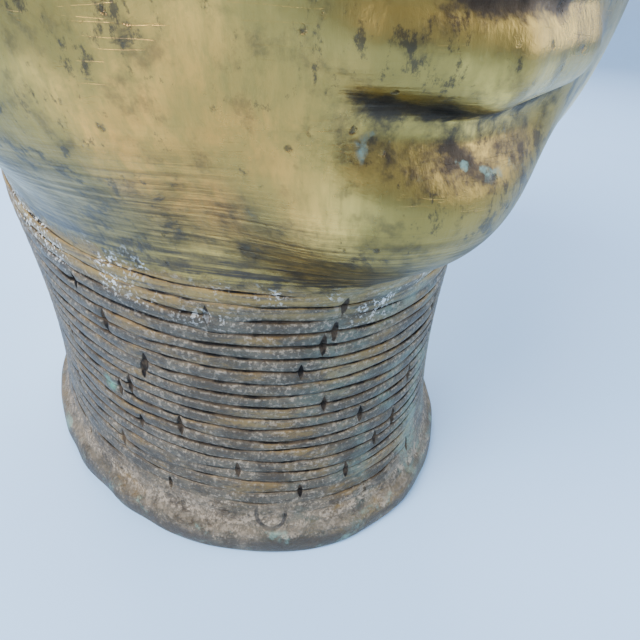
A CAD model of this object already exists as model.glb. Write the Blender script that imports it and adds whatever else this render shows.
# Bronze head: the cast surface with its hand-cut rings, patina and wear.
import math

import bmesh
import bpy
import numpy as np
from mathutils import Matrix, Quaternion, Vector, noise


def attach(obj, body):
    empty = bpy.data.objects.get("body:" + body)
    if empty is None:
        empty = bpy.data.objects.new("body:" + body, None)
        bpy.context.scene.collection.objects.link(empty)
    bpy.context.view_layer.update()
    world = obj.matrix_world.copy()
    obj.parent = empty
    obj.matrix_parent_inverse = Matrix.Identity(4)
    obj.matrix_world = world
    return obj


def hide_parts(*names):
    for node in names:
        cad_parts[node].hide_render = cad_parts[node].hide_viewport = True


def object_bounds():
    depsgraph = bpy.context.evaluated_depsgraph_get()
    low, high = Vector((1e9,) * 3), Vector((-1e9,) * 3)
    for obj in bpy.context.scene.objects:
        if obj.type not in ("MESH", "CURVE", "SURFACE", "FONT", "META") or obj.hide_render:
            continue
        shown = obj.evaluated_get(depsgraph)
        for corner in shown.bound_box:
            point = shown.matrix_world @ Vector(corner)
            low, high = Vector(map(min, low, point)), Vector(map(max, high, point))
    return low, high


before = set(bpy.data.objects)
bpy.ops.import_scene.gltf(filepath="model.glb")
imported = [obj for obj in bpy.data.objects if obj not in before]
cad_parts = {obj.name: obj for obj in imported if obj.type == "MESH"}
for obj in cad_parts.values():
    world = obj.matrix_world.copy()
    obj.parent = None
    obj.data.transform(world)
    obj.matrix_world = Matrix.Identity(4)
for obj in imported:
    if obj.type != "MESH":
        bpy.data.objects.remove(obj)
cadLow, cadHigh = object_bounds()

mm = 0.001
degree = math.pi / 180

# The form, in metres and the same as the casting's solid.
headSize = {
    "height": 0.215,  # chin to crown
    "forward": 0.008,  # head's middle in front of the neck's
    "neckHeight": 0.0697,
    "neckWidth": 0.110,
    "neckDepth": 0.149,
    "neckRise": 0.020,  # the rings end this much higher at the back
    "neckWaist": 0.0025,
    "rimFlare": 0.0037,
    "rimHeight": 0.0065,
    "rimBulge": 0.0014,
    "coveHeight": 0.0090,
    "capEdge": 25 * degree,
    "capTilt": 23 * degree,
    "capThickness": 0.0028,
    "bandWidth": 0.0095,
    "bandRelief": 0.0030,
    "bossRadius": 0.0130,
    "bossRelief": 0.0060,
}
headHeight = headSize["height"]
neckHeight = headSize["neckHeight"]
ringsTop = neckHeight - 0.01 * headHeight
headMiddle = neckHeight + 0.45 * headHeight
ringsFoot = headSize["rimHeight"] + 0.38 * headSize["coveHeight"]


def ellipsoid(p, centre, radii):
    # nearly the distance to an ellipsoid, below zero inside
    q = (p - np.array(centre)) / np.array(radii)
    near = np.sqrt((q * q).sum(-1)) + 1e-9
    slope = np.sqrt(((q / np.array(radii)) ** 2).sum(-1)) + 1e-9
    return near * (near - 1.0) / slope


def rod(p, stations):
    # distance to a bent rod, stations as (side, forward, up, radius)
    best = np.full(p.shape[:-1], 9.0)
    for start, end in zip(stations, stations[1:]):
        a, b = np.array(start[:3]), np.array(end[:3])
        along = np.clip(((p - a) @ (b - a)) / ((b - a) @ (b - a)), 0.0, 1.0)
        off = p - a - along[..., None] * (b - a)
        width = start[3] + along * (end[3] - start[3])
        best = np.minimum(best, np.sqrt((off * off).sum(-1)) - width)
    return best


def join(a, b, blend):
    share = np.clip(0.5 + 0.5 * (b - a) / blend, 0.0, 1.0)
    return b + (a - b) * share - blend * share * (1.0 - share)


def carve(a, b, blend):
    return -join(-a, b, blend)


# Everything on the head is in shares of its height: side, forward, up from the chin.
def skull(p):
    form = ellipsoid(p, (0, -0.045, 0.600), (0.335, 0.425, 0.400))
    form = join(form, ellipsoid(p, (0, 0.125, 0.660), (0.275, 0.262, 0.235)), 0.05)
    form = join(form, ellipsoid(p, (0, 0.115, 0.370), (0.280, 0.272, 0.335)), 0.06)
    form = join(form, ellipsoid(p, (0, 0.120, 0.245), (0.284, 0.248, 0.225)), 0.06)
    form = join(form, ellipsoid(p, (0, 0.125, 0.140), (0.262, 0.236, 0.128)), 0.09)
    return join(form, ellipsoid(p, (0.205, 0.180, 0.435), (0.086, 0.092, 0.075)), 0.08)


def mouth(p, form):
    form = join(form, ellipsoid(p, (0, 0.268, 0.215), (0.165, 0.120, 0.105)), 0.07)
    form = join(form, ellipsoid(p, (0, 0.316, 0.080), (0.092, 0.080, 0.068)), 0.06)
    upper = [
        (0.130, 0.341, 0.193, 0.007),
        (0.108, 0.356, 0.200, 0.013),
        (0.070, 0.381, 0.210, 0.021),
        (0.026, 0.401, 0.220, 0.027),
        (0, 0.402, 0.215, 0.024),
    ]
    lower = [
        (0.130, 0.340, 0.190, 0.007),
        (0.104, 0.357, 0.180, 0.015),
        (0.060, 0.380, 0.168, 0.025),
        (0, 0.392, 0.163, 0.030),
    ]
    underLip = [(0.060, 0.392, 0.128, 0.008), (0, 0.402, 0.122, 0.012)]
    form = carve(form, rod(p, underLip), 0.040)
    form = join(form, rod(p, upper), 0.010)
    return join(form, rod(p, lower), 0.008)


def nose(p, form):
    bridge = [
        (0, 0.345, 0.550, 0.030),
        (0, 0.388, 0.470, 0.028),
        (0, 0.425, 0.385, 0.036),
        (0, 0.450, 0.328, 0.046),
    ]
    form = join(form, rod(p, bridge), 0.045)
    form = join(form, ellipsoid(p, (0.062, 0.395, 0.310), (0.042, 0.058, 0.038)), 0.028)
    form = join(form, rod(p, [(0, 0.455, 0.300, 0.020), (0, 0.405, 0.283, 0.016)]), 0.014)
    form = carve(form, ellipsoid(p, (0.038, 0.422, 0.268), (0.020, 0.032, 0.020)), 0.012)
    return carve(form, rod(p, [(0, 0.412, 0.268, 0.010), (0, 0.420, 0.245, 0.011)]), 0.020)


def eye(p, form):
    brow = [
        (0.035, 0.362, 0.572, 0.016),
        (0.110, 0.354, 0.600, 0.019),
        (0.190, 0.310, 0.592, 0.016),
        (0.240, 0.250, 0.560, 0.010),
    ]
    form = join(form, rod(p, brow), 0.035)
    form = carve(form, ellipsoid(p, (0.132, 0.400, 0.512), (0.080, 0.080, 0.050)), 0.045)
    ball = ellipsoid(p, (0.133, 0.262, 0.502), (0.088, 0.086, 0.076))
    lids = ball - 0.0115
    arc = 0.088  # radius of the two arcs that bound the opening
    across, up = p[..., 0] - 0.133, p[..., 2] - 0.500
    opening = np.sqrt(across**2 + (np.abs(up) + arc - 0.029) ** 2) - arc
    form = join(form, carve(lids, opening, 0.008), 0.012)
    return join(form, ball, 0.003)


def ear(p, form):
    form = join(form, ellipsoid(p, (0.318, -0.062, 0.450), (0.036, 0.068, 0.125)), 0.016)
    rim = []
    for degrees in range(205, -96, -20):
        t = math.radians(degrees)
        out = 0.343 - 0.012 * math.cos(t)
        rim.append((out, -0.060 - 0.070 * math.cos(t), 0.452 + 0.122 * math.sin(t), 0.0165))
    form = join(form, rod(p, rim), 0.008)
    form = carve(form, ellipsoid(p, (0.374, -0.044, 0.432), (0.036, 0.032, 0.062)), 0.014)
    fold = [
        (0.336, -0.066, 0.536, 0.013),
        (0.344, -0.088, 0.480, 0.015),
        (0.342, -0.086, 0.410, 0.015),
        (0.334, -0.062, 0.360, 0.013),
    ]
    form = join(form, rod(p, fold), 0.012)
    form = join(form, ellipsoid(p, (0.334, -0.004, 0.420), (0.022, 0.017, 0.028)), 0.012)
    return join(form, ellipsoid(p, (0.332, -0.042, 0.332), (0.024, 0.036, 0.038)), 0.014)


def neckSizes(z):
    waist = headSize["neckWaist"] * np.sin(np.pi * np.clip(z / neckHeight, 0.0, 1.0))
    climb = np.clip((z - headSize["rimHeight"]) / headSize["coveHeight"], 0.0, 1.0)
    cove = (1.0 - np.sqrt(1.0 - (1.0 - climb) ** 2)) ** 0.8 * (headSize["rimFlare"] - headSize["rimBulge"])
    fromMiddle = np.clip(2.0 * z / headSize["rimHeight"] - 1.0, -1.0, 1.0)
    rim = headSize["rimFlare"] - headSize["rimBulge"] * (1.0 - np.sqrt(1.0 - fromMiddle**2))
    flare = np.where(z < headSize["rimHeight"], rim, cove)
    return headSize["neckWidth"] / 2 - waist + flare, headSize["neckDepth"] / 2 - waist + flare


def neck(points):
    halfWidth, halfDepth = neckSizes(points[..., 2])
    level = np.sqrt(points[..., 0] ** 2 + points[..., 1] ** 2) + 1e-9
    share = np.sqrt((points[..., 0] / halfWidth) ** 2 + (points[..., 1] / halfDepth) ** 2) + 1e-9
    return np.maximum(level * (1.0 - 1.0 / share), points[..., 2] - headMiddle)


def formOf(points):
    # distance in metres to the whole casting before its rings are cut
    middle = np.array([0.0, -headSize["forward"], neckHeight])
    p = (points - middle) * np.array([1.0, -1.0, 1.0]) / headHeight
    p[..., 0] = np.abs(p[..., 0])
    form = skull(p)
    front = (p[..., 1] > 0.15) & (p[..., 2] < 0.75)
    face = mouth(p[front], form[front])
    face = nose(p[front], face)
    form[front] = eye(p[front], face)
    side = (p[..., 0] > 0.22) & (np.abs(p[..., 1] + 0.05) < 0.20)
    form[side] = ear(p[side], form[side])
    upper = join(form * headHeight, neck(points), 0.012)
    return np.where(points[..., 2] < ringsTop - 0.012, neck(points), upper)


netSize = {
    "columns": 300,  # round the head, divisible by four
    "jawSteps": 26,
    "faceSteps": 112,
    "bandSteps": 9,
    "neckRings": 19,
    "capRings": 14,
    "lowestClimb": -45 * degree,
    "earTurn": 1.73,
    "faceCrowds": [(-28, 4, 2.6), (-35, 6, 1.0), (-4, 6, 0.9)],  # climb, half width in degrees, strength
    "settleRounds": 14,
}

# Hand-cut marks. A ring is one groove and the band above it.
cutSize = {
    "grooveDepth": 0.70 * mm,
    "pillow": 0.20 * mm,  # how far a band is rounded between its grooves
    "wander": 0.40 * mm,  # how far a groove strays up and down
    "nicksPerRing": 6,
    "nickDepth": 0.55 * mm,
    "nickHalfWidth": 0.9 * mm,
    "nickReach": 2.9 * mm,  # above and below its groove
    "rimWobble": 0.60 * mm,
}
# where the rings of the net lie within one cut ring: the groove's edge, bottom, edge, then the band
ringShares = [0.0, 0.10, 0.24, 0.5, 0.76, 0.90]
ringRelief = [-1.0, -0.25, 0.35, 1.0, 0.35, -0.25]


def spread(start, end, count, crowds):
    # values closer together round each crowd (middle, half width, strength)
    fine = np.linspace(start, end, 4000)
    weight = np.ones(len(fine))
    for middle, width, strength in crowds:
        weight += strength * np.exp(-(((fine - middle) / width) ** 2))
    share = np.concatenate([[0.0], np.cumsum((weight[1:] + weight[:-1]) / 2)])
    return np.interp(np.linspace(0.0, share[-1], count), share, fine)


def columnTurns():
    crowds = [(0.0, 0.75, 1.3), (netSize["earTurn"], 0.26, 1.5)]
    oneSide = spread(0.0, math.pi, netSize["columns"] // 2 + 1, crowds)
    return np.concatenate([oneSide, 2 * math.pi - oneSide[-2:0:-1]])


def levels():
    # rows of: height, share up the neck, climb, lean, relief, zone, cut ring, share within it
    size = headSize
    rows = []
    for s in (0, 0.03, 0.12, 0.28, 0.5, 0.72, 0.88, 0.97):
        rows.append((s * size["rimHeight"], 0, 0, 0, 0, 0, -1, 0))
    for s in (0.03, 0.07, 0.12, 0.18, 0.25, 0.32):
        rows.append((size["rimHeight"] + size["coveHeight"] * s, 0, 0, 0, 0, 1, -1, 0))
    for n in range(netSize["neckRings"]):
        for share, relief in zip(ringShares, ringRelief):
            up = (n + share) / netSize["neckRings"]
            z = ringsFoot + up * (ringsTop - ringsFoot)
            rows.append((z, up, 0, 0, relief, 2, n, share))
    rows.append((ringsTop, 1, 0, 0, -0.7, 2, netSize["neckRings"], 0))
    for n in range(netSize["jawSteps"]):
        t = (n + 1) / netSize["jawSteps"]
        z = ringsTop + t * (headMiddle - ringsTop)
        rows.append((z, 1 - t, math.atan(t * math.tan(netSize["lowestClimb"])), 0, 0, 3, -1, 0))
    low, high = netSize["lowestClimb"], size["capEdge"]
    crowds = [(middle * degree, width * degree, power) for middle, width, power in netSize["faceCrowds"]]
    for climb in spread(low, high, netSize["faceSteps"] + 1, crowds)[1:]:
        rows.append((headMiddle, 0, climb, size["capTilt"] * (climb - low) / (high - low), 0, 3, -1, 0))
    bandTurn = size["bandWidth"] / (0.42 * headHeight)
    for t in np.linspace(0, 1, netSize["bandSteps"]):
        climb = high + 0.004 + t * bandTurn
        lift = size["capThickness"] + size["bandRelief"] * math.sin(math.pi * t)
        rows.append((headMiddle, 0, climb, size["capTilt"], lift, 4, -1, 0))
    bossTurn = size["bossRadius"] / (0.5 * headHeight)
    start, end = climb, math.pi / 2 - bossTurn
    for n in range(netSize["capRings"]):
        for share, relief in zip(ringShares, ringRelief):
            climb = start + (n + share) * (end - start) / netSize["capRings"]
            rows.append((headMiddle, 0, climb + 0.002, size["capTilt"], size["capThickness"], 5, n, share))
    for t in (0.05, 0.15, 0.3, 0.5, 0.72, 0.9):
        lift = size["capThickness"] + size["bossRelief"] * math.sqrt(1 - (1 - t) ** 2)
        rows.append((headMiddle, 0, end + t * bossTurn, size["capTilt"], lift, 6, -1, 0))
    return np.array(rows, float)


def raysFor(rows, turn):
    height, share, climb, lean = (rows[:, [k]] for k in range(4))
    start = np.zeros((len(rows), len(turn), 3))
    start[..., 1] = -headSize["forward"] * np.clip((height - ringsTop) / (headMiddle - ringsTop), 0, 1)
    start[..., 2] = height + share * headSize["neckRise"] * (1 - np.cos(turn)) / 2
    across, along = np.cos(climb) * np.sin(turn), -np.cos(climb) * np.cos(turn)
    up = np.sin(climb) + 0 * turn
    along, up = along * np.cos(lean) + up * np.sin(lean), up * np.cos(lean) - along * np.sin(lean)
    return start, np.stack([across, along, up], -1)


def firstHit(start, out):
    reach = np.full(out.shape[:-1], 0.6 * headHeight + 0.5 * headSize["neckDepth"])
    for _ in range(34):
        reach -= 0.8 * formOf(start + reach[..., None] * out)
    return start + reach[..., None] * out


def steepness(points):
    step = 0.0003
    here = formOf(points)
    slope = np.stack([formOf(points + step * axis) - here for axis in np.eye(3)], -1) / step
    return slope / (np.sqrt((slope**2).sum(-1, keepdims=True)) + 1e-9)


def settle(points, first, last):
    # evens out the net while it stays on the surface
    for _ in range(netSize["settleRounds"]):
        part = points[first - 1 : last + 1]
        middle = part[1:-1]
        mean = (part[:-2] + part[2:] + np.roll(middle, 1, 1) + np.roll(middle, -1, 1)) / 4
        normal = steepness(middle)
        pull = mean - middle
        pull -= (pull * normal).sum(-1, keepdims=True) * normal
        middle = middle + 0.6 * pull
        points[first:last] = middle - formOf(middle)[..., None] * normal
    return points


def handNoise(points, size, seed):
    # smooth noise between -1 and 1 at these points, features of that size
    flat = points.reshape(-1, 3) / size + seed * 17.3
    values = [noise.noise(Vector(p)) for p in flat]
    return np.array(values).reshape(points.shape[:-1])


def waveNoise(turn, seed, most, count=9):
    # smooth noise round the ring, between about -1 and 1
    rng = np.random.default_rng(seed)
    total = np.zeros_like(turn)
    for _ in range(count):
        total += np.sin(rng.integers(2, most) * turn + rng.uniform(0, 2 * math.pi))
    return total / math.sqrt(count)


def nickPlaces(rings, seed):
    # (ring, direction, size) of every nick, staggered from ring to ring
    rng = np.random.default_rng(seed)
    places = []
    gap = 2 * math.pi / cutSize["nicksPerRing"]
    for ring in range(rings):
        for n in range(cutSize["nicksPerRing"]):
            turn = (n + 0.382 * ring) * gap + rng.uniform(-0.2, 0.2) * gap
            places.append((ring, turn % (2 * math.pi), rng.uniform(0.75, 1.15)))
    return places


def cutRings(points, outward, rows, turn, zone, ringCount, seed):
    # sinks the grooves and nicks of one ringed zone, and maps how near each point is to a groove and a nick
    index = np.flatnonzero(rows[:, 5] == zone)
    whole = points.copy()
    lineGap = np.full(points.shape[:-1], 3.0)  # mm to the nearest groove
    lineDepth = np.zeros(points.shape[:-1])
    nickGap = np.full(points.shape[:-1], 3.0)  # 0 in the middle of a nick, 1 at its edge
    grooves = [row for row in index if rows[row, 7] == 0]
    for row in index:
        ring, share = int(rows[row, 6]), rows[row, 7]
        relief = ringRelief[ringShares.index(share)]
        depth = 0.72 + 0.36 * waveNoise(turn, seed + 31 * ring, 26)  # a hand-cut line varies in depth
        if zone == 2 and ring > ringCount - 3:
            depth = depth - 0.25 + 0.3 * waveNoise(turn, seed + 7, 9)
        if zone == 2 and ring < 6:  # worn flat near the foot in places
            depth = depth - (6 - ring) / 6 * np.clip(0.55 + 0.75 * waveNoise(turn, seed + 3, 7), 0, 1.1)
        depth = np.clip(depth, 0.05, 1.25)
        sunk = np.clip(-relief, 0, 1) * depth
        raised = cutSize["pillow"] * max(relief, 0) - cutSize["grooveDepth"] * sunk
        points[row] += outward[row] * raised[:, None]
        close = [groove for groove in grooves if abs(groove - row) < 7]
        gaps = [np.linalg.norm(whole[row] - whole[groove], axis=-1) for groove in close]
        lineGap[row] = np.min(gaps, axis=0) * 1000
        lineDepth[row] = depth
    for ring, where, size in nickPlaces(ringCount, seed):
        column = int(np.argmin(np.abs((turn - where + math.pi) % (2 * math.pi) - math.pi)))
        home = index[0] + ring * len(ringShares)
        for row in range(max(home - 9, index[0]), min(home + 10, index[-1] + 1)):
            tall = np.linalg.norm(whole[row, column] - whole[home, column]) / (cutSize["nickReach"] * size)
            for side in range(-4, 5):
                near = (column + side) % len(turn)
                wide = np.linalg.norm(whole[row, near] - whole[row, column])
                wide = wide / (cutSize["nickHalfWidth"] * size)
                nickGap[row, near] = min(nickGap[row, near], wide + tall**2)
    sunk = np.clip(1.3 - nickGap[index], 0, 1)
    points[index] -= outward[index] * (cutSize["nickDepth"] * sunk)[..., None]
    return lineGap, lineDepth, nickGap


def wanderRings(rows, start, turn):
    # lets every groove of the neck stray from level
    last = netSize["neckRings"]
    for row in np.flatnonzero(rows[:, 5] == 2):
        ring, share = int(rows[row, 6]), rows[row, 7]
        if ring in (0, last):
            continue
        stray = []
        for n in (ring, ring + 1):
            bend = 0.75 * waveNoise(turn, 500 + n, 14) + 0.35 * waveNoise(turn, 900 + n, 40)
            stray.append(np.clip(bend, -1.3, 1.3) * (n < last))
        start[row, :, 2] += cutSize["wander"] * ((1 - share) * stray[0] + share * stray[1])


def hollows(points, outward, reach):
    # 1 deep inside a fold, 0 on open skin
    share = formOf(points + outward * reach) / reach
    return np.clip(1.0 - share, 0.0, 1.0)


def castingMesh():
    turn = columnTurns()
    rows = levels()
    start, out = raysFor(rows, turn)
    wanderRings(rows, start, turn)
    points = firstHit(start, out)
    zones = rows[:, 5]
    skin = np.flatnonzero(zones == 3)
    points = settle(points, skin[0], skin[-1])
    print("form found")
    outward = steepness(points)
    level = zones < 3
    outward[level] = out[level]
    deep = np.maximum(hollows(points, outward, 4 * mm), 0.8 * hollows(points, outward, 11 * mm))
    deep[level] = 0
    lift = np.where(zones > 3, rows[:, 4], 0.0)
    points += lift[:, None, None] * outward
    neckCut = cutRings(points, outward, rows, turn, 2, netSize["neckRings"], 7)
    capCut = cutRings(points, outward, rows, turn, 5, netSize["capRings"], 57)
    topRow = int(np.flatnonzero(zones == 2)[-1])
    above = points[..., 2] - points[topRow, :, 2]
    rim = zones == 0
    wobble = cutSize["rimWobble"] * (handNoise(points[rim], 11 * mm, 3) - 0.6)
    points[rim] += outward[rim] * wobble[..., None]
    cove = zones == 1
    lumps = 0.45 * handNoise(points[cove], 5 * mm, 5) + 0.30 * handNoise(points[cove], 2.2 * mm, 6)
    points[cove] += outward[cove] * (mm * lumps)[..., None]
    soft = zones == 3
    points[soft] += outward[soft] * (0.12 * mm * handNoise(points[soft], 15 * mm, 9) - 0.10 * mm)[..., None]
    points[0, :, 2] = 0.0
    points = np.clip(points, np.array(cadLow), np.array(cadHigh))
    wide = np.ones((1, len(turn)))
    masks = {
        "lineGap": np.minimum(neckCut[0], capCut[0]),
        "lineDepth": neckCut[1] + capCut[1],
        "nickGap": np.minimum(neckCut[2], capCut[2]),
        "hollow": deep,
        "above": np.clip(above * 1000, -30, 30),  # mm above the top ring
        "rimMask": (zones == 0)[:, None] * wide,
        "capMask": (zones > 3)[:, None] * wide,
    }
    return points, rows, masks


def netFaces(net, rings):
    for low, high in zip(rings, rings[1:]):
        for n in range(len(high)):
            m = (n + 1) % len(high)
            if len(low) == len(high):
                net.faces.new((low[n], low[m], high[m], high[n]))
                continue
            a, b, c = low[2 * n], low[2 * n + 1], low[(2 * n + 2) % len(low)]
            net.faces.new((a, b, high[n]))
            net.faces.new((b, c, high[m]))
            net.faces.new((b, high[m], high[n]))


def makeHead():
    points, rows, masks = castingMesh()
    coarse = rows[:, 5] >= 5  # the cap above its band takes every other column
    steps = [2 if row else 1 for row in coarse]
    net = bmesh.new()
    rings = [[net.verts.new(point) for point in ring[::step]] for ring, step in zip(points, steps)]
    crown = net.verts.new(points[-1].mean(axis=0) + Vector((0, 0.0003, 0.0004)))
    net.faces.new(rings[0][::-1])
    netFaces(net, rings)
    for n in range(len(rings[-1])):
        net.faces.new((rings[-1][n], rings[-1][(n + 1) % len(rings[-1])], crown))
    bmesh.ops.recalc_face_normals(net, faces=net.faces)
    mesh = bpy.data.meshes.new("castHead")
    net.to_mesh(mesh)
    net.free()
    for name, values in masks.items():
        flat = np.concatenate([row[::step] for row, step in zip(values, steps)] + [values[-1, :1]])
        layer = mesh.attributes.new(name, "FLOAT", "POINT")
        layer.data.foreach_set("value", flat.astype(np.float32))
    mesh.shade_smooth()
    head = bpy.data.objects.new("castHead", mesh)
    bpy.context.scene.collection.objects.link(head)
    triangles = sum(len(face.vertices) - 2 for face in mesh.polygons)
    print("head net:", len(mesh.vertices), "points,", triangles, "triangles")
    return head


# Small helpers for node materials.
def addNode(tree, kind, settings=None, **sockets):
    node = tree.nodes.new("ShaderNode" + kind)
    for name, value in (settings or {}).items():
        setattr(node, name, value)
    for name, value in sockets.items():
        key = int(name[1:]) if name[0] == "i" and name[1:].isdigit() else name.replace("_", " ")
        if isinstance(value, bpy.types.NodeSocket):
            tree.links.new(value, node.inputs[key])
        else:
            node.inputs[key].default_value = value
    return node


def maths(tree, kind, a, b=0.0, c=0.0, clamp=False):
    return addNode(tree, "Math", {"operation": kind, "use_clamp": clamp}, i0=a, i1=b, i2=c).outputs[0]


def times(tree, a, b):
    return maths(tree, "MULTIPLY", a, b)


def plus(tree, a, b, clamp=False):
    return maths(tree, "ADD", a, b, clamp=clamp)


def minus(tree, a, b, clamp=False):
    return maths(tree, "SUBTRACT", a, b, clamp=clamp)


def gapTo(tree, place, point):
    # distance in metres from a fixed point
    return addNode(tree, "VectorMath", {"operation": "DISTANCE"}, i0=place, i1=point).outputs["Value"]


def colourMix(tree, share, a, b):
    mixer = addNode(tree, "Mix", {"data_type": "RGBA", "clamp_factor": True}, i0=share)
    for index, colour in ((6, a), (7, b)):
        if isinstance(colour, bpy.types.NodeSocket):
            tree.links.new(colour, mixer.inputs[index])
        else:
            mixer.inputs[index].default_value = (*colour, 1.0)
    return mixer.outputs[2]


def numberMix(tree, share, a, b):
    return addNode(tree, "Mix", {"data_type": "FLOAT", "clamp_factor": True}, i0=share, i2=a, i3=b).outputs[0]


def rise(tree, value, low, high):
    # 0 below low, 1 above high
    settings = {"interpolation_type": "SMOOTHSTEP", "clamp": True}
    return addNode(tree, "MapRange", settings, Value=value, From_Min=low, From_Max=high).outputs[0]


def cloud(tree, place, scale, detail=5.0, roughness=0.55, distortion=0.0):
    made = addNode(tree, "TexNoise", None, Vector=place, Scale=scale, Detail=detail, Roughness=roughness)
    made.inputs["Distortion"].default_value = distortion
    return made.outputs["Fac"]


def stretched(tree, place, scale, turn=(0.0, 0.0, 0.0)):
    made = addNode(tree, "Mapping", None, Vector=place)
    made.inputs["Scale"].default_value = scale
    made.inputs["Rotation"].default_value = turn
    return made.outputs[0]


def maskOf(tree, name):
    return addNode(tree, "Attribute", {"attribute_name": name}).outputs["Fac"]


finish = {
    "brass": (0.830, 0.530, 0.125),
    "dullBrass": (0.290, 0.193, 0.052),
    "tan": (0.700, 0.312, 0.060),
    "ledge": (0.340, 0.215, 0.060),
    "oldBrown": (0.070, 0.050, 0.034),
    "black": (0.014, 0.012, 0.011),
    "neckDark": (0.062, 0.044, 0.026),
    "neckBrass": (0.215, 0.128, 0.040),
    "neckGrey": (0.125, 0.101, 0.070),
    "verdigris": (0.240, 0.385, 0.300),
    "brightGreen": (0.110, 0.400, 0.260),
    "crust": (0.395, 0.305, 0.212),
    "chalk": (0.780, 0.780, 0.740),
    "cheekPlace": (-0.028, -0.076, 0.097),
    "dropPlace": (-0.045, -0.040, 0.036),
    "markPlace": (-0.0196, -0.0720, 0.0112),  # a round seam in the crust
    "markRadius": 4.4 * mm,
}


def bronzeFinish():
    material = bpy.data.materials.new("wornBronze")
    material.use_nodes = True
    tree = material.node_tree
    shader = tree.nodes["Principled BSDF"]
    place = addNode(tree, "TexCoord").outputs["Object"]
    axes = addNode(tree, "SeparateXYZ", None, Vector=place).outputs
    facing = addNode(tree, "SeparateXYZ", None, Vector=addNode(tree, "NewGeometry").outputs["Normal"]).outputs
    hollow, above, cap = maskOf(tree, "hollow"), maskOf(tree, "above"), maskOf(tree, "capMask")
    rim = maskOf(tree, "rimMask")

    broad = cloud(tree, place, 34.0, 6.0, 0.6)
    fine = cloud(tree, place, 210.0, 7.0, 0.65)
    blotch = cloud(tree, place, 95.0, 8.0, 0.7, 0.4)
    grit = cloud(tree, place, 1150.0, 3.0, 0.7)

    # the cut marks, drawn finer than the net can carry them
    rough = times(tree, minus(tree, fine, 0.5), 0.5)
    lineEdge = plus(tree, maskOf(tree, "lineGap"), rough)
    lineDepth = maskOf(tree, "lineDepth")
    lineSide = minus(tree, lineEdge, times(tree, lineDepth, 0.26))
    line = times(tree, rise(tree, lineSide, 0.20, -0.04), rise(tree, lineDepth, 0.12, 0.50))
    nickEdge = plus(tree, maskOf(tree, "nickGap"), times(tree, rough, 0.8))
    nick = rise(tree, nickEdge, 0.95, 0.62)
    cuts = maths(tree, "MAXIMUM", line, nick)

    # polished skin: brass with duller clouds, a warm cheek and old brown where the cloth never reached
    skin = colourMix(tree, rise(tree, broad, 0.42, 0.60), finish["brass"], finish["dullBrass"])
    cheek = gapTo(tree, place, finish["cheekPlace"])
    warm = times(tree, rise(tree, cheek, 0.028, 0.008), rise(tree, broad, 0.66, 0.44))
    skin = colourMix(tree, warm, skin, finish["tan"])
    brush = cloud(tree, stretched(tree, place, (900.0, 900.0, 70.0), (0.35, 0.55, 0.2)), 1.0, 3.0, 0.6)
    skin = colourMix(tree, times(tree, rise(tree, brush, 0.42, 0.70), 0.42), skin, finish["dullBrass"])
    skin = colourMix(tree, times(tree, rise(tree, blotch, 0.44, 0.58), 0.50), skin, finish["dullBrass"])
    wide = cloud(tree, stretched(tree, place, (1.0, 1.0, 0.7), (0.4, 0.2, 0.0)), 62.0, 3.0, 0.5)
    skin = colourMix(tree, times(tree, rise(tree, wide, 0.36, 0.60), 0.80), skin, finish["dullBrass"])
    skin = colourMix(tree, times(tree, rise(tree, fine, 0.49, 0.68), 0.55), skin, finish["oldBrown"])

    # brushed streaks run level and show most under the jaw
    streaks = cloud(tree, stretched(tree, place, (60.0, 60.0, 1500.0)), 1.0, 4.0, 0.6)
    under = rise(tree, facing["Z"], -0.10, -0.60)
    jaw = times(tree, under, rise(tree, above, 34.0, 12.0))
    brushed = plus(tree, streaks, times(tree, fine, 0.5))
    jaw = times(tree, jaw, rise(tree, brushed, 0.52, 0.92))
    skin = colourMix(tree, times(tree, jaw, 0.8), skin, finish["neckDark"])

    # patina held in the folds, broken up by noise
    held = plus(tree, hollow, times(tree, minus(tree, fine, 0.5), 0.9))
    held = plus(tree, held, times(tree, minus(tree, blotch, 0.5), 0.8))
    skin = colourMix(tree, rise(tree, held, 0.22, 0.55), skin, finish["oldBrown"])
    skin = colourMix(tree, rise(tree, held, 0.55, 0.88), skin, finish["black"])
    skin = colourMix(tree, times(tree, rise(tree, blotch, 0.60, 0.68), 0.8), skin, finish["oldBrown"])
    greenSpot = times(tree, rise(tree, held, 0.25, 0.55), rise(tree, cloud(tree, place, 190.0), 0.60, 0.68))
    skin = colourMix(tree, times(tree, greenSpot, 0.65), skin, finish["verdigris"])

    # casting pits, thick in some places and rare in others
    pits = addNode(tree, "TexVoronoi", {"feature": "F1"}, Vector=place, Scale=560.0, Randomness=1.0)
    sparse = addNode(tree, "SeparateColor", None, Color=pits.outputs["Color"]).outputs[0]
    chosen = rise(tree, plus(tree, sparse, times(tree, blotch, 1.3)), 1.58, 1.70)
    pitEdge = plus(tree, pits.outputs["Distance"], times(tree, minus(tree, grit, 0.5), 0.9))
    pitted = times(tree, rise(tree, pitEdge, 0.36, 0.12), chosen)
    skin = colourMix(tree, times(tree, pitted, 0.8), skin, finish["oldBrown"])
    stain = cloud(tree, stretched(tree, place, (1.0, 1.0, 0.6), (0.5, 0.3, 0.0)), 330.0, 7.0, 0.75)
    stain = plus(tree, stain, times(tree, minus(tree, broad, 0.5), 0.5))
    skin = colourMix(tree, times(tree, rise(tree, stain, 0.565, 0.65), 0.80), skin, finish["oldBrown"])

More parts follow.
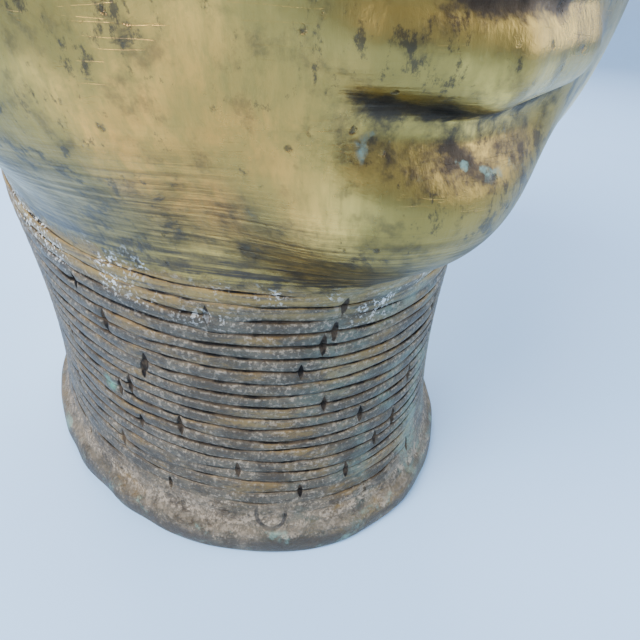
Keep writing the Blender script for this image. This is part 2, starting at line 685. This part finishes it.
    # ringed neck and cap: grey-brown casting skin, dusty, with brass showing where it was handled
    rubbed = cloud(tree, stretched(tree, place, (1.0, 1.0, 3.6)), 48.0, 7.0, 0.65)
    dusty = cloud(tree, place, 120.0, 8.0, 0.7, 0.3)
    cast = colourMix(tree, rise(tree, dusty, 0.40, 0.62), finish["neckDark"], finish["neckGrey"])
    handled = plus(tree, rubbed, times(tree, rise(tree, above, -14.0, 0.0), 0.10))
    cast = colourMix(tree, times(tree, rise(tree, handled, 0.50, 0.63), 0.85), cast, finish["neckBrass"])
    side = rise(tree, axes["X"], -0.035, 0.050)
    green = times(tree, rise(tree, cloud(tree, place, 85.0, 6.0, 0.6), 0.48, 0.66), side)
    cast = colourMix(tree, times(tree, green, 0.55), cast, finish["verdigris"])
    grain = cloud(tree, stretched(tree, place, (520.0, 520.0, 1300.0)), 1.0, 4.0, 0.75)
    cast = colourMix(tree, times(tree, rise(tree, grain, 0.48, 0.64), 0.75), cast, finish["oldBrown"])
    dust = times(tree, rise(tree, grit, 0.53, 0.62), rise(tree, dusty, 0.38, 0.60))
    cast = colourMix(tree, times(tree, dust, 0.60), cast, finish["crust"])
    edge = times(tree, rise(tree, lineEdge, 0.45, 0.62), rise(tree, lineEdge, 1.0, 0.66))
    lit = times(tree, edge, rise(tree, grit, 0.46, 0.60))
    cast = colourMix(tree, times(tree, lit, 0.45), cast, finish["crust"])
    spot = gapTo(tree, place, finish["dropPlace"])
    drop = times(tree, rise(tree, spot, 0.003, 0.0005), rise(tree, fine, 0.42, 0.6))
    cast = colourMix(tree, drop, cast, finish["brightGreen"])
    ledge = times(tree, rise(tree, above, -7.0, -2.5), minus(tree, 1.0, cap))
    ledge = times(tree, ledge, rise(tree, brushed, 0.60, 0.88))
    cast = colourMix(tree, times(tree, ledge, 0.85), cast, finish["ledge"])
    cutTone = colourMix(tree, rise(tree, fine, 0.40, 0.60), finish["black"], finish["oldBrown"])
    cast = colourMix(tree, cuts, cast, cutTone)

    # the neck ends in a ragged dark band with a rubbed ledge, then the jaw's own metal begins
    ragged = plus(tree, above, times(tree, minus(tree, blotch, 0.5), 14.0))
    ragged = plus(tree, ragged, times(tree, minus(tree, fine, 0.5), 8.0))
    isSkin = times(tree, rise(tree, ragged, 0.2, 3.0), minus(tree, 1.0, cap))
    zone = minus(tree, 1.0, isSkin)
    band = times(tree, rise(tree, ragged, -1.0, 2.0), rise(tree, ragged, 9.0, 4.0))
    skin = colourMix(tree, times(tree, band, rise(tree, brushed, 0.55, 0.85)), skin, finish["oldBrown"])
    colour = colourMix(tree, zone, skin, cast)

    # granular crust in the hollow above the rim, and the rim's own darker edge
    crustNoise = cloud(tree, place, 420.0, 8.0, 0.75, 0.4)
    uneven = times(tree, minus(tree, blotch, 0.5), 0.016)
    uneven = plus(tree, uneven, times(tree, minus(tree, fine, 0.5), 0.010))
    footLevel = plus(tree, axes["Z"], uneven)
    foot = times(tree, rise(tree, footLevel, 0.0052, 0.0070), rise(tree, footLevel, 0.0130, 0.0095))
    crusty = times(tree, foot, rise(tree, crustNoise, 0.40, 0.58))
    grains = times(tree, rise(tree, grit, 0.48, 0.56), 0.85)
    crustTone = colourMix(tree, grains, finish["crust"], finish["neckDark"])
    onRim = times(tree, rim, rise(tree, blotch, 0.50, 0.62))
    crusty = maths(tree, "MAXIMUM", crusty, times(tree, onRim, 0.6))
    colour = colourMix(tree, times(tree, crusty, 0.85), colour, crustTone)
    mark = gapTo(tree, place, finish["markPlace"])
    seam = maths(tree, "ABSOLUTE", minus(tree, mark, finish["markRadius"]))
    seam = times(tree, rise(tree, seam, 0.0005, 0.0002), foot)
    colour = colourMix(tree, times(tree, seam, 0.8), colour, finish["black"])
    rimLight = times(tree, rise(tree, axes["Z"], 0.0052, 0.0062), rise(tree, axes["Z"], 0.0080, 0.0070))
    rimLight = times(tree, rimLight, rise(tree, fine, 0.36, 0.56))
    rimDark = times(tree, rise(tree, axes["Z"], 0.0054, 0.0038), rise(tree, fine, 0.70, 0.46))
    colour = colourMix(tree, times(tree, rimDark, 0.85), colour, finish["oldBrown"])
    colour = colourMix(tree, times(tree, rimLight, 0.6), colour, finish["neckGrey"])
    rimTint = times(tree, rim, rise(tree, cloud(tree, place, 150.0, 6.0, 0.7), 0.52, 0.66))
    colour = colourMix(tree, times(tree, rimTint, 0.5), colour, finish["verdigris"])

    # chalky specks where the top rings meet the jaw, and a few in the nicks there
    meets = times(tree, rise(tree, above, -11.0, -2.0), rise(tree, above, 7.0, 2.0))
    meets = times(tree, meets, minus(tree, 1.0, cap))
    patchy = rise(tree, cloud(tree, place, 75.0, 3.0, 0.5), 0.45, 0.58)
    specks = times(tree, rise(tree, grit, 0.545, 0.60), patchy)
    inNick = times(tree, rise(tree, nickEdge, 0.80, 0.50), rise(tree, broad, 0.50, 0.56))
    chalk = times(tree, maths(tree, "MAXIMUM", specks, inNick), meets)
    colour = colourMix(tree, times(tree, chalk, 0.9), colour, finish["chalk"])
    tree.links.new(colour, shader.inputs["Base Color"])

    metal = numberMix(tree, zone, minus(tree, 1.0, times(tree, greenSpot, 0.8)), 0.50)
    metal = minus(tree, metal, times(tree, crusty, 0.6))
    cutHere = times(tree, cuts, zone)
    metal = minus(tree, metal, maths(tree, "MAXIMUM", chalk, cutHere), clamp=True)
    gleam = numberMix(tree, cutHere, 0.5, 0.03)
    tree.links.new(gleam, shader.inputs["Specular IOR Level"])
    tree.links.new(metal, shader.inputs["Metallic"])
    shine = numberMix(tree, rise(tree, broad, 0.35, 0.70), 0.25, 0.42)
    shine = plus(tree, shine, times(tree, rise(tree, held, 0.3, 0.7), 0.25))
    shine = plus(tree, shine, times(tree, jaw, 0.12))
    castShine = numberMix(tree, rise(tree, dusty, 0.40, 0.70), 0.46, 0.70)
    shine = numberMix(tree, zone, shine, castShine)
    shine = plus(tree, shine, times(tree, maths(tree, "MAXIMUM", crusty, cutHere), 0.25), clamp=True)
    tree.links.new(shine, shader.inputs["Roughness"])

    # relief too fine for the net: pits, scratches, brushing, grit and the sharp cuts
    scratchPlace = stretched(tree, place, (45.0, 45.0, 700.0), (0.5, 0.35, 0.2))
    scratch = maths(tree, "ABSOLUTE", minus(tree, cloud(tree, scratchPlace, 1.0, 2.0, 0.5), 0.5))
    scratch = times(tree, rise(tree, scratch, 0.008, 0.002), rise(tree, blotch, 0.50, 0.58))
    height = minus(tree, times(tree, brush, 0.35), times(tree, pitted, 0.6))
    height = minus(tree, height, times(tree, scratch, 0.12))
    height = plus(tree, height, times(tree, fine, 0.45))
    height = plus(tree, height, times(tree, blotch, 0.8))
    height = plus(tree, height, times(tree, times(tree, streaks, under), 0.7))
    castHeight = plus(tree, times(tree, grain, 1.2), times(tree, dusty, 1.2))
    castHeight = plus(tree, castHeight, times(tree, grit, 1.2))
    castHeight = plus(tree, castHeight, times(tree, times(tree, crustNoise, foot), 4.5))
    castHeight = minus(tree, castHeight, times(tree, seam, 1.5))
    castHeight = minus(tree, castHeight, times(tree, cuts, 1.6))
    height = numberMix(tree, zone, height, castHeight)
    bump = addNode(tree, "Bump", None, Height=height, Strength=0.60, Distance=0.00035)
    tree.links.new(bump.outputs[0], shader.inputs["Normal"])
    return material


floorSet = {
    "flat": 1.6,  # radius of the flat middle, metres
    "sweep": 0.8,  # radius of the curve up into the backdrop
    "wall": 2.4,
    "tones": ((0.430, 0.660, 0.980), (0.465, 0.705, 1.000)),
    "wallTone": (0.780, 0.820, 0.870),
    "roughness": 0.42,
}


def makeFloor():
    # a wide dish, so that no horizon shows from any side
    profile = [(floorSet["flat"] * share, 0.0) for share in (0.25, 0.5, 0.75, 1.0)]
    for turn in np.radians(range(10, 91, 10)):
        reach = floorSet["flat"] + floorSet["sweep"] * math.sin(turn)
        profile.append((reach, floorSet["sweep"] * (1 - math.cos(turn))))
    profile.append((reach, floorSet["wall"]))
    net = bmesh.new()
    turns = np.linspace(0, 2 * math.pi, 72, endpoint=False)
    rings = [[net.verts.new((r * math.cos(t), r * math.sin(t), z)) for t in turns] for r, z in profile]
    net.faces.new(rings[0])
    netFaces(net, rings)
    bmesh.ops.recalc_face_normals(net, faces=net.faces)
    bmesh.ops.reverse_faces(net, faces=net.faces)
    mesh = bpy.data.meshes.new("tableTop")
    net.to_mesh(mesh)
    net.free()
    mesh.shade_smooth()
    floor = bpy.data.objects.new("tableTop", mesh)
    bpy.context.scene.collection.objects.link(floor)
    material = bpy.data.materials.new("paleTable")
    material.use_nodes = True
    tree = material.node_tree
    shader = tree.nodes["Principled BSDF"]
    place = addNode(tree, "TexCoord").outputs["Object"]
    tone = colourMix(tree, cloud(tree, place, 9.0, 3.0), *floorSet["tones"])
    level = addNode(tree, "SeparateXYZ", None, Vector=place).outputs["Z"]
    tone = colourMix(tree, rise(tree, level, 0.02, 0.60), tone, floorSet["wallTone"])
    tree.links.new(tone, shader.inputs["Base Color"])
    shader.inputs["Roughness"].default_value = floorSet["roughness"]
    mesh.materials.append(material)


lampSet = {
    "key": {"place": (-0.75, -0.25, 0.95), "power": 29.0, "size": 0.7, "colour": (0.98, 0.99, 1.0)},
    "fill": {"place": (0.85, -0.55, 0.60), "power": 9.0, "size": 0.9, "colour": (0.86, 0.93, 1.0)},
    "back": {"place": (0.25, 0.95, 0.80), "power": 16.0, "size": 0.9, "colour": (0.92, 0.96, 1.0)},
}
skySet = {"colour": (0.87, 0.95, 1.06), "strength": 0.80}


def makeLamps():
    for name, lamp in lampSet.items():
        data = bpy.data.lights.new(name, "AREA")
        data.energy = lamp["power"]
        data.size = lamp["size"]
        data.color = lamp["colour"]
        made = bpy.data.objects.new(name, data)
        made.location = lamp["place"]
        aim = Vector((0, 0, 0.12)) - Vector(lamp["place"])
        made.rotation_euler = aim.to_track_quat("-Z", "Y").to_euler()
        bpy.context.scene.collection.objects.link(made)
    world = bpy.data.worlds.new("studio")
    world.use_nodes = True
    sky = world.node_tree.nodes["Background"]
    sky.inputs[0].default_value = (*skySet["colour"], 1)
    sky.inputs[1].default_value = skySet["strength"]
    bpy.context.scene.world = world


cameraSet = {
    "lens": 28.1,  # mm on a 36 mm sensor
    "azimuth": -29.0,
    "elevation": 31.83,
    "roll": 2.0,
    "distance": 0.1684,
    "across": 0.0272,  # the point aimed at, to the picture's right of the neck's middle
    "up": 0.0195,
}


def makeCamera():
    data = bpy.data.cameras.new("photoCamera")
    data.lens = cameraSet["lens"]
    data.sensor_width = 36.0
    data.clip_start = 0.005
    camera = bpy.data.objects.new("photoCamera", data)
    turn, climb = math.radians(cameraSet["azimuth"]), math.radians(cameraSet["elevation"])
    back = Vector((math.sin(turn) * math.cos(climb), -math.cos(turn) * math.cos(climb), math.sin(climb)))
    aim = Vector((math.cos(turn), math.sin(turn), 0)) * cameraSet["across"] + Vector((0, 0, cameraSet["up"]))
    camera.location = aim + back * cameraSet["distance"]
    camera.rotation_mode = "QUATERNION"
    look = (-back).to_track_quat("-Z", "Y")
    camera.rotation_quaternion = look @ Quaternion((0, 0, 1), math.radians(cameraSet["roll"]))
    bpy.context.scene.collection.objects.link(camera)
    bpy.context.scene.camera = camera


makeCamera()
makeFloor()
makeLamps()
print("stage set")
head = makeHead()
head.data.materials.append(bronzeFinish())
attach(head, "root")
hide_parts("bronze_head")
print("head dressed")
